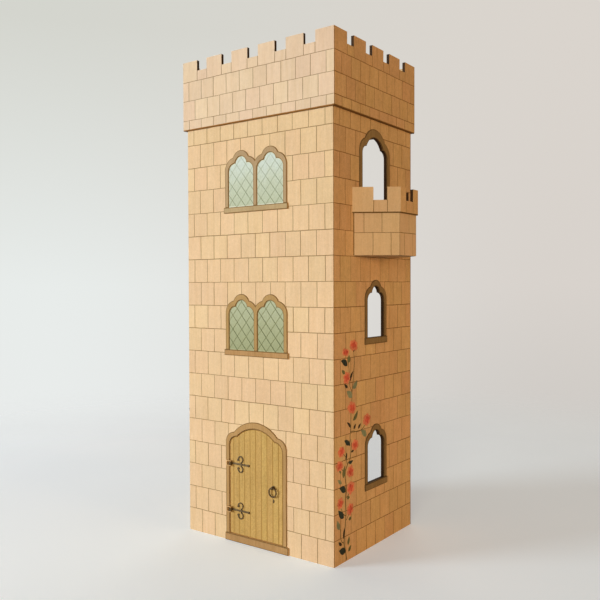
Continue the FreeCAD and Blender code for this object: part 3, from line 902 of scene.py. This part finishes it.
# Three colours from top to bottom for a pane, its strong leads and its faint leads, then
# the two colours of the pane's rim.
PANE_COLOURS = {
    "upper": (((196, 208, 203), (184, 193, 173), (174, 182, 156)),
              ((186, 198, 184), (150, 160, 136), (136, 146, 118)),
              ((192, 204, 191), (170, 180, 158), (154, 164, 136)),
              ((204, 210, 190), (192, 198, 176))),
    "lower": (((170, 176, 146), (160, 165, 130), (149, 154, 116)),
              ((112, 120, 80), (99, 107, 65), (94, 102, 60)),
              ((146, 152, 116), (134, 140, 100), (128, 133, 92)),
              ((164, 168, 130), (152, 156, 116)))}


def falling_leads(middle, base):
    """Picks the places on the leads that run down to the right."""
    def pick(centres):
        across = centres[:, 0] - middle + (centres[:, 1] - base) / LEAD_SLOPE
        across = across / LEAD_PITCH - 0.5
        off = LEAD_PITCH * np.abs(across - np.round(across))
        return off * math.sin(math.atan(LEAD_SLOPE)) < LEAD_HALF_WIDTH
    return pick


def build_windows():
    for storey, (*fades, rim_pair) in PANE_COLOURS.items():
        low, high = box_mm(storey + "_left_pane")
        face, strong, faint = [
            pane_look(storey + name, low.z, high.z, *colours)
            for name, colours in zip(("_pane_tint", "_strong_lead", "_faint_lead"), fades)]
        rim = painted(storey + "_pane_rim", *rim_pair)
        for side in ("left", "right"):
            node = f"{storey}_{side}_pane"
            pane_low, pane_high = box_mm(node)
            plate(node, FRONT, cad_outlines(node, FRONT, 0), 0, high.y - low.y,
                  [face, face, cut_edge, board_face["z"], rim], "window_pane", bevel=0.1, band=0.6)
            node = f"{storey}_{side}_leading"
            thickness = low.y - box_mm(node)[0].y
            plate(node, FRONT, cad_outlines(node, FRONT, -thickness), -thickness, 0,
                  [faint, strong, faint, faint, faint], "window_lead", bevel=0.1,
                  pick=falling_leads((pane_low.x + pane_high.x) / 2, low.z))


PLANK_WIDTH = 4.5
PLANK_JOINTS = 9
PLANK_GAP = 0.55
PLANK_GAP_DEPTH = 0.14


def build_door():
    rng = random.Random(5)
    low, high = box_mm("door_leaf")
    depth = high.y - low.y
    loops = cad_outlines("door_leaf", FRONT, depth)
    middle = (low.x + high.x) / 2
    joints = []
    for i in range(PLANK_JOINTS):
        u = middle + (i - (PLANK_JOINTS - 1) / 2) * PLANK_WIDTH
        joints.append(wavering_line((u, low.z - 1), (u, high.z + 1), rng, 0.07, 6.0))
    looks = [plank_face, plank_gap, jamb_edge_painted_light, board_face["z"], plank_gap]
    plate("door_leaf", FRONT, loops, 0, depth, looks, "door_board", body="door", joints=joints,
          rng=rng, joint_width=PLANK_GAP, joint_depth=PLANK_GAP_DEPTH, bevel=0.15, band=0.3)


def build_ironwork():
    for storey in ("upper", "lower"):
        adopt(storey + "_strap_hinge", [iron], "ironwork", body="door", bevel=0.1)
        adopt(storey + "_hinge_pin", [bronze], "ironwork", bevel=0.08)
    adopt("ring_staple", [iron], "ironwork", body="door", bevel=0.07)
    adopt("keyhole_plate", [iron], "ironwork", body="door", bevel=0.07)
    adopt("ring_handle", [iron_bright], "ironwork", body="ring", bevel=0.0, smooth_angle=60)


# ---- boards inside ----

RAMP_ANGLE = math.radians(36)
CLEAT_NORMAL = (0.6, 0, 0.8)


def build_inner_boards():
    flat = [board_face["x"], board_edge]
    across = [board_face["y"], board_edge]
    for node in ("base_plate", "balcony_floor", "balcony_underside"):
        adopt(node, flat, "plain_board", normal=(0, 0, 1))
    for node in ("rear_sill", "upper_ramp_fence", "middle_ramp_fence", "lower_ramp_fence",
                 "door_stop"):
        adopt(node, flat, "plain_board", normal=(0, 1, 0))
    for node, lean in (("upper", 1), ("middle", -1), ("lower", 1)):
        adopt(node + "_ramp", across, "plain_board", normal=(lean * math.tan(RAMP_ANGLE), 0, 1))
        adopt(node + "_ramp_cleat", across, "plain_board", normal=CLEAT_NORMAL, bevel=0.1)
    low, high = box_mm("exit_ramp")
    slope = (high.z - low.z - BOARD) / (high.y - low.y)
    adopt("exit_ramp", flat, "plain_board", normal=(0, -slope, 1))


# ---- painted rose ----
# Places on the right wall: distance from its front corner, and height.

STEMS = [
    [(13.2, 0.9), (12.3, 5.3), (10.8, 9.9), (10.8, 13.8), (12.0, 22.4), (12.7, 28.7),
     (12.1, 36.9), (13.3, 42.5), (12.0, 49.2), (12.1, 53.4), (14.4, 56.8), (17.4, 60.4),
     (18.4, 65.5), (18.7, 68.7), (17.3, 72.1), (17.8, 75.6), (18.2, 80.2), (18.4, 86.8),
     (19.4, 95.0), (19.4, 99.4), (17.3, 102.9), (16.6, 107.4), (16.6, 111.2), (15.6, 117.1),
     (14.2, 120.6)],
    [(18.0, 75.4), (20.4, 75.8), (24.7, 74.8), (29.5, 74.9), (33.5, 76.6), (36.2, 78.4)],
    [(19.6, 99.2), (20.8, 105.4), (21.6, 112.0), (22.4, 117.0), (21.8, 121.4), (21.5, 125.0)],
    [(10.9, 11.5), (8.4, 12.6), (7.0, 15.6), (7.1, 20.6)],
    [(12.6, 26.8), (9.6, 29.0), (7.6, 32.4)],
    [(12.4, 24.2), (14.4, 25.6), (16.6, 28.2)],
    [(12.9, 37.8), (15.4, 38.6), (17.4, 41.0)],
    [(12.2, 52.0), (9.6, 54.2), (7.2, 56.4)],
    [(14.4, 56.8), (12.6, 61.6), (9.4, 64.4)],
    [(18.6, 63.4), (20.8, 64.8), (22.4, 66.6)],
]
# (start, end, half width, kind)
LEAVES = [
    (16.3, 121.5, 15.3, 117.1, 1.3, "g"), (7.6, 118.9, 14.4, 115.4, 1.5, "t"),
    (8.5, 113.3, 11.9, 111.2, 0.9, "g"), (20.8, 111.6, 17.3, 106.1, 0.75, "d"),
    (11.2, 104.9, 14.8, 102.7, 0.8, "d"), (25.3, 105.8, 20.3, 101.5, 1.4, "p"),
    (13.8, 100.4, 19.7, 96.3, 1.6, "p"), (25.9, 87.5, 20.7, 82.2, 1.1, "g"),
    (13.9, 82.0, 17.8, 78.3, 0.7, "d"), (23.9, 79.5, 21.6, 76.8, 0.7, "d"),
    (29.5, 79.0, 26.5, 76.3, 0.7, "d"), (30.0, 74.8, 36.1, 70.4, 1.5, "p"),
    (11.1, 71.6, 15.5, 68.1, 1.2, "t"), (16.1, 71.3, 17.2, 67.5, 0.7, "t"),
    (21.8, 64.8, 18.7, 63.9, 0.6, "d"), (13.3, 64.3, 12.4, 60.2, 0.6, "d"),
    (20.6, 58.3, 15.5, 58.0, 0.8, "t"), (11.6, 56.8, 9.9, 49.9, 1.2, "g"),
    (5.0, 55.8, 7.2, 53.2, 0.6, "g"), (4.0, 49.9, 8.0, 47.1, 0.9, "p"),
    (5.7, 44.7, 12.1, 41.3, 1.6, "t"), (16.9, 37.1, 13.9, 36.7, 0.8, "g"),
    (4.5, 32.1, 10.3, 26.4, 1.5, "t"), (18.7, 25.2, 15.6, 23.9, 0.8, "g"),
    (3.3, 26.4, 5.9, 20.6, 1.3, "p"), (11.7, 20.6, 10.2, 14.0, 0.7, "d"),
    (16.2, 13.9, 14.7, 9.1, 1.0, "g"), (4.7, 13.5, 8.2, 11.0, 0.8, "d"),
    (18.3, 8.1, 15.3, 5.1, 0.9, "g"), (5.3, 8.4, 12.3, 6.3, 1.7, "t"),
    (21.1, 124.4, 21.6, 123.1, 0.7, "d"),
]
FLOWERS = [
    (21.3, 127.0, 3.3, 2.7), (12.6, 123.5, 2.7, 1.9), (13.8, 108.3, 2.7, 3.1),
    (19.6, 90.0, 3.4, 3.1), (36.7, 80.3, 3.2, 3.0), (22.9, 67.1, 3.0, 2.6),
    (7.8, 65.7, 2.7, 2.9), (5.9, 57.7, 2.7, 2.4), (17.7, 52.2, 2.8, 3.0),
    (17.8, 42.6, 3.1, 3.2), (6.5, 35.7, 2.4, 2.9), (17.2, 29.8, 2.6, 3.2),
]
# kind: (name, thin paint, thick paint)
LEAF_PAINTS = {"d": ("dark", (62, 52, 30), (44, 40, 26)),
               "g": ("green", (118, 118, 74), (88, 94, 58)),
               "p": ("pale", (146, 154, 122), (112, 124, 96)),
               "t": ("teal", (50, 62, 52), (32, 42, 38))}
LEAF_FULLNESS = 1.18        # brush width over the listed half width of a leaf
FLOWER_SPREAD = (1.5, 1.24)    # the same for a flower, along and up the wall
PAINT = 0.05                # thickness of a coat of paint


class Paint:
    """Collects thin closed patches on the right wall for one object."""

    def __init__(self):
        self.points, self.faces, self.tones = [], [], []

    def patch(self, spine, widths, layer, tone):
        """A closed low mound along a spine, with a half width at each of its points."""
        n, base = len(spine), len(self.points)
        across = left_of(spine) * np.asarray(widths)[:, None]
        left, right = spine + across, spine - across
        edge = -PAINT * layer
        for line, depth in ((left, edge), (spine, edge - PAINT), (right, edge), (left, 0.0),
                            (right, 0.0)):
            self.points += [(u, v, depth) for u, v in line]
        a, s, c, low_a, low_c = (base + n * k for k in range(5))
        for i in range(n - 1):
            self.faces += [(a + i, s + i, s + i + 1, a + i + 1),
                           (s + i, c + i, c + i + 1, s + i + 1),
                           (low_a + i, a + i, a + i + 1, low_a + i + 1),
                           (c + i, low_c + i, low_c + i + 1, c + i + 1),
                           (low_c + i, low_a + i, low_a + i + 1, low_c + i + 1)]
        start, end = [(low_a + i, low_c + i, c + i, s + i, a + i) for i in (0, n - 1)]
        self.faces += [start, end[::-1]]
        self.tones += [tone] * (5 * (n - 1) + 2)

    def build(self, name, mat):
        u, v, depth = np.array(self.points).T
        points = RIGHT.place(u - HALF_DEPTH, v, depth)
        obj = make_object(name, points, self.faces, [mat], [0] * len(self.faces), self.tones, 50)
        bm = bmesh.new()
        bm.from_mesh(obj.data)
        bmesh.ops.recalc_face_normals(bm, faces=bm.faces)
        bm.to_mesh(obj.data)
        bm.free()
        return finish_piece(obj, "tower", "stone_board")


def smooth_path(points, per_span=4):
    """Catmull-Rom curve through the points."""
    p = [np.array(q, float) for q in points]
    p = [2 * p[0] - p[1]] + p + [2 * p[-1] - p[-2]]
    path = []
    for a, b, c, d in zip(p, p[1:], p[2:], p[3:]):
        for k in range(per_span):
            t = k / per_span
            path.append(0.5 * (2 * b + (c - a) * t + (2 * a - 5 * b + 4 * c - d) * t * t
                               + (3 * b - a - 3 * c + d) * t ** 3))
    path.append(p[-2])
    return np.array(path)


def leaf(paint, start, end, half, bow, tone):
    a, b = np.array(start), np.array(end)
    t = np.linspace(0, 1, 8)
    spine = a + np.outer(t, b - a)
    spine += np.outer(bow * np.sin(math.pi * t), np.array([-(b - a)[1], (b - a)[0]]))
    paint.patch(spine, half * (np.sin(math.pi * t ** 0.8) + 0.06), 2, tone)


def petal(paint, flower, angle, start, end, width, layer, rng):
    u, v, half_u, half_v = flower
    t = np.linspace(start, end * rng.uniform(0.85, 1.05), 6)
    curl = angle + 0.35 * t
    spine = np.stack([u + half_u * t * np.cos(curl), v + half_v * t * np.sin(curl)], 1)
    share = (t - t[0]) / (t[-1] - t[0])
    widths = width * half_u * (np.sin(math.pi * share ** 1.2 * 0.94 + 0.1) + 0.05)
    paint.patch(spine, widths, layer, rng.random())


def build_rose():
    rng = random.Random(41)
    stems = Paint()
    for k, line in enumerate(STEMS):
        spine = smooth_path(line)
        stems.patch(spine, np.linspace(0.42 if k == 0 else 0.28, 0.18, len(spine)), 1, rng.random())
    stems.build("painted_stems", painted("stem_paint", (120, 106, 62), (92, 80, 44)))

    for kind, (name, thin, thick) in LEAF_PAINTS.items():
        leaves = Paint()
        for u0, v0, u1, v1, half, leaf_kind in LEAVES:
            if leaf_kind == kind:
                bow = rng.uniform(-0.12, 0.12)
                leaf(leaves, (u1, v1), (u0, v0), LEAF_FULLNESS * half, bow, rng.random())
        leaves.build("painted_leaves_" + name, painted(name + "_leaf_paint", thin, thick))

    outer, inner = Paint(), Paint()
    for u, v, half_u, half_v in FLOWERS:
        flower = (u, v, FLOWER_SPREAD[0] * half_u, FLOWER_SPREAD[1] * half_v)
        turn = rng.uniform(0, 2 * math.pi)
        for k in range(6):
            petal(outer, flower, turn + k * math.pi / 3, 0.16, 1.0, 0.36, 3, rng)
        for k in range(4):
            petal(inner, flower, turn + 0.5 + k * math.pi / 2, 0.0, 0.62, 0.22, 5, rng)
    outer.build("painted_petals", painted("petal_paint", (232, 148, 112), (218, 118, 86)))
    inner.build("painted_rose_hearts", painted("heart_paint", (220, 104, 80), (202, 82, 60)))


# ---- stage, light and camera ----

# Backdrop colours by height of the view direction, on the left and on the right.
SKY_HEIGHTS = (-0.30, -0.19, 0.0, 0.33)
SKY_LEFT = ((232, 234, 233), (233, 236, 235), (232, 236, 234), (212, 213, 206))
# The lower colours on the right are darker: painted shade where the tower's shadow lies on the
# sweep.
SKY_RIGHT = ((203, 197, 190), (206, 202, 197), (216, 210, 204), (218, 212, 205))
SKY_ACROSS = (0.808, 0.589, 0.0)    # horizontal direction from left to right
SKY_REACH = 0.36
AMBIENT = (1.0, 0.83, 0.64, 1.0)
AMBIENT_STRENGTH = 0.19


def sky_column(t, height, colours):
    """Colour that changes with the height of the view direction."""
    low, high = SKY_HEIGHTS[0], SKY_HEIGHTS[-1]
    ramp = t.node("ShaderNodeValToRGB", {0: t.remap(height, low, high)})
    stops = ramp.color_ramp.elements
    while len(stops) < len(colours):
        stops.new(0.5)
    for stop, z in zip(stops, SKY_HEIGHTS):
        stop.position = (z - low) / (high - low)
    for stop, colour in zip(stops, colours):
        stop.color = srgb(colour)
    return ramp.outputs[0]


def build_world():
    world = bpy.data.worlds.new("studio")
    bpy.context.scene.world = world
    world.use_nodes = True
    t = Nodes(world.node_tree)
    direction = t.node("ShaderNodeTexCoord").outputs["Generated"]
    height = t.node("ShaderNodeSeparateXYZ", {0: direction}).outputs["Z"]
    side = t.remap(t.across(direction), -SKY_REACH, SKY_REACH, interpolation_type="SMOOTHSTEP")
    sky = t.blend(side, sky_column(t, height, SKY_LEFT), sky_column(t, height, SKY_RIGHT))
    seen = t.node("ShaderNodeBackground", {"Color": sky})
    ambient = t.node("ShaderNodeBackground", {"Color": AMBIENT, "Strength": AMBIENT_STRENGTH})
    t.node("ShaderNodeOutputWorld", {0: t.by_ray(seen, ambient).outputs[0]})


def build_floor():
    mesh = bpy.data.meshes.new("floor")
    bm = bmesh.new()
    bmesh.ops.create_circle(bm, cap_ends=True, segments=96, radius=FLOOR_RADIUS)
    bm.to_mesh(mesh)
    bm.free()
    floor = bpy.data.objects.new("floor", mesh)
    bpy.context.scene.collection.objects.link(floor)
    mesh.materials.append(floor_look())


FLOOR_RADIUS = 12.0         # metres
FLOOR_ALBEDO = (0.77, 0.87, 0.91, 1.0)
FLOOR_GLOW = (0.242, 0.245, 0.268, 1.0)
FLOOR_BOUNCE = (0.46, 0.45, 0.42, 1.0)
FLOOR_FADE = (0.22, 0.75)   # metres from the tower's middle
GLOW_SPAN = (-0.3, 0.1)     # metres from left to right over which the glow weakens: painted shade on the floor's right
GLOW_RANGE = (1.4, 0.97)


def floor_look():
    """Matt pale sweep that fades into the backdrop with distance, with a painted glow that lifts
    its shadows.
    """
    g = Material("pale_floor")
    mottling = g.noise((6, 6, 6), 2.0, 0.5)
    colour = g.brighten(FLOOR_ALBEDO, g.remap(mottling, 0.3, 0.7, 0.97, 1.03))
    matt = g.node("ShaderNodeBsdfPrincipled", {"Base Color": colour, "Roughness": 0.9,
                                               "Specular IOR Level": 0.1})
    # Painted light: the floor glows, lifting its shadows; the glow weakens towards the right as
    # painted shade.
    strength = g.remap(g.across(g.coords), *GLOW_SPAN, *GLOW_RANGE,
                       interpolation_type="SMOOTHSTEP")
    glow = g.node("ShaderNodeEmission", {"Color": FLOOR_GLOW, "Strength": strength})
    lit = g.node("ShaderNodeAddShader", {0: matt.outputs[0], 1: glow.outputs[0]})
    length = g.node("ShaderNodeVectorMath", {0: g.coords}, operation="LENGTH").outputs["Value"]
    fade = g.remap(length, *FLOOR_FADE, interpolation_type="SMOOTHSTEP")
    clear = g.node("ShaderNodeBsdfTransparent")
    seen = g.node("ShaderNodeMixShader", {0: fade, 1: lit.outputs[0], 2: clear.outputs[0]})
    bounce = g.node("ShaderNodeBsdfDiffuse", {"Color": FLOOR_BOUNCE})
    return g.show(g.by_ray(seen, bounce))


LIT_PLACE = Vector((0, 0, 0.15))
# Name, place and diameter in metres, watts, colour.
LIGHTS = [("key", (-1.74, -1.93, 0.52), 1.0, 62, (0.83, 0.91, 0.98)),
          ("front_fill", (0.89, -2.44, 0.46), 0.9, 26, (1.0, 0.87, 0.65)),
          ("side_fill", (2.5, 0.0, 0.34), 0.66, 18.3, (1.0, 0.55, 0.2)),
          ("back_fill", (-0.9, 1.9, 1.0), 1.6, 13, (1.0, 0.86, 0.7))]


def build_lights():
    for name, place, size, watts, colour in LIGHTS:
        light = bpy.data.lights.new(name, "AREA")
        light.shape = "DISK"
        light.size = size
        light.energy = watts
        light.color = colour
        obj = bpy.data.objects.new(name, light)
        obj.location = place
        obj.rotation_euler = (LIT_PLACE - Vector(place)).to_track_quat("-Z", "Y").to_euler()
        bpy.context.scene.collection.objects.link(obj)


CAMERA_PLACE = (0.2847, -0.39085, 0.1626)
HEADING, PITCH, ROLL = 0.6303, -0.0198, 0.0029
SENSOR_MM, LENS_MM = 36.0, 43.2


def build_camera():
    data = bpy.data.cameras.new("camera")
    data.sensor_width = SENSOR_MM
    data.lens = LENS_MM
    camera = bpy.data.objects.new("camera", data)
    level = Vector((-math.sin(HEADING), math.cos(HEADING), 0))
    right = Vector((math.cos(HEADING), math.sin(HEADING), 0))
    up = Vector((0, 0, 1))
    forward = level * math.cos(PITCH) + up * math.sin(PITCH)
    rise = up * math.cos(PITCH) - level * math.sin(PITCH)
    x_axis = right * math.cos(ROLL) - rise * math.sin(ROLL)
    y_axis = right * math.sin(ROLL) + rise * math.cos(ROLL)
    turn = Matrix((x_axis, y_axis, -forward)).transposed()
    camera.matrix_world = Matrix.Translation(CAMERA_PLACE) @ turn.to_4x4()
    bpy.context.scene.collection.objects.link(camera)
    bpy.context.scene.camera = camera


def main():
    build_walls()
    build_parapet()
    build_balcony()
    build_trim()
    build_windows()
    build_door()
    build_ironwork()
    build_inner_boards()
    build_rose()
    build_world()
    build_floor()
    build_lights()
    build_camera()
    bpy.context.scene.view_settings.view_transform = "Standard"


main()
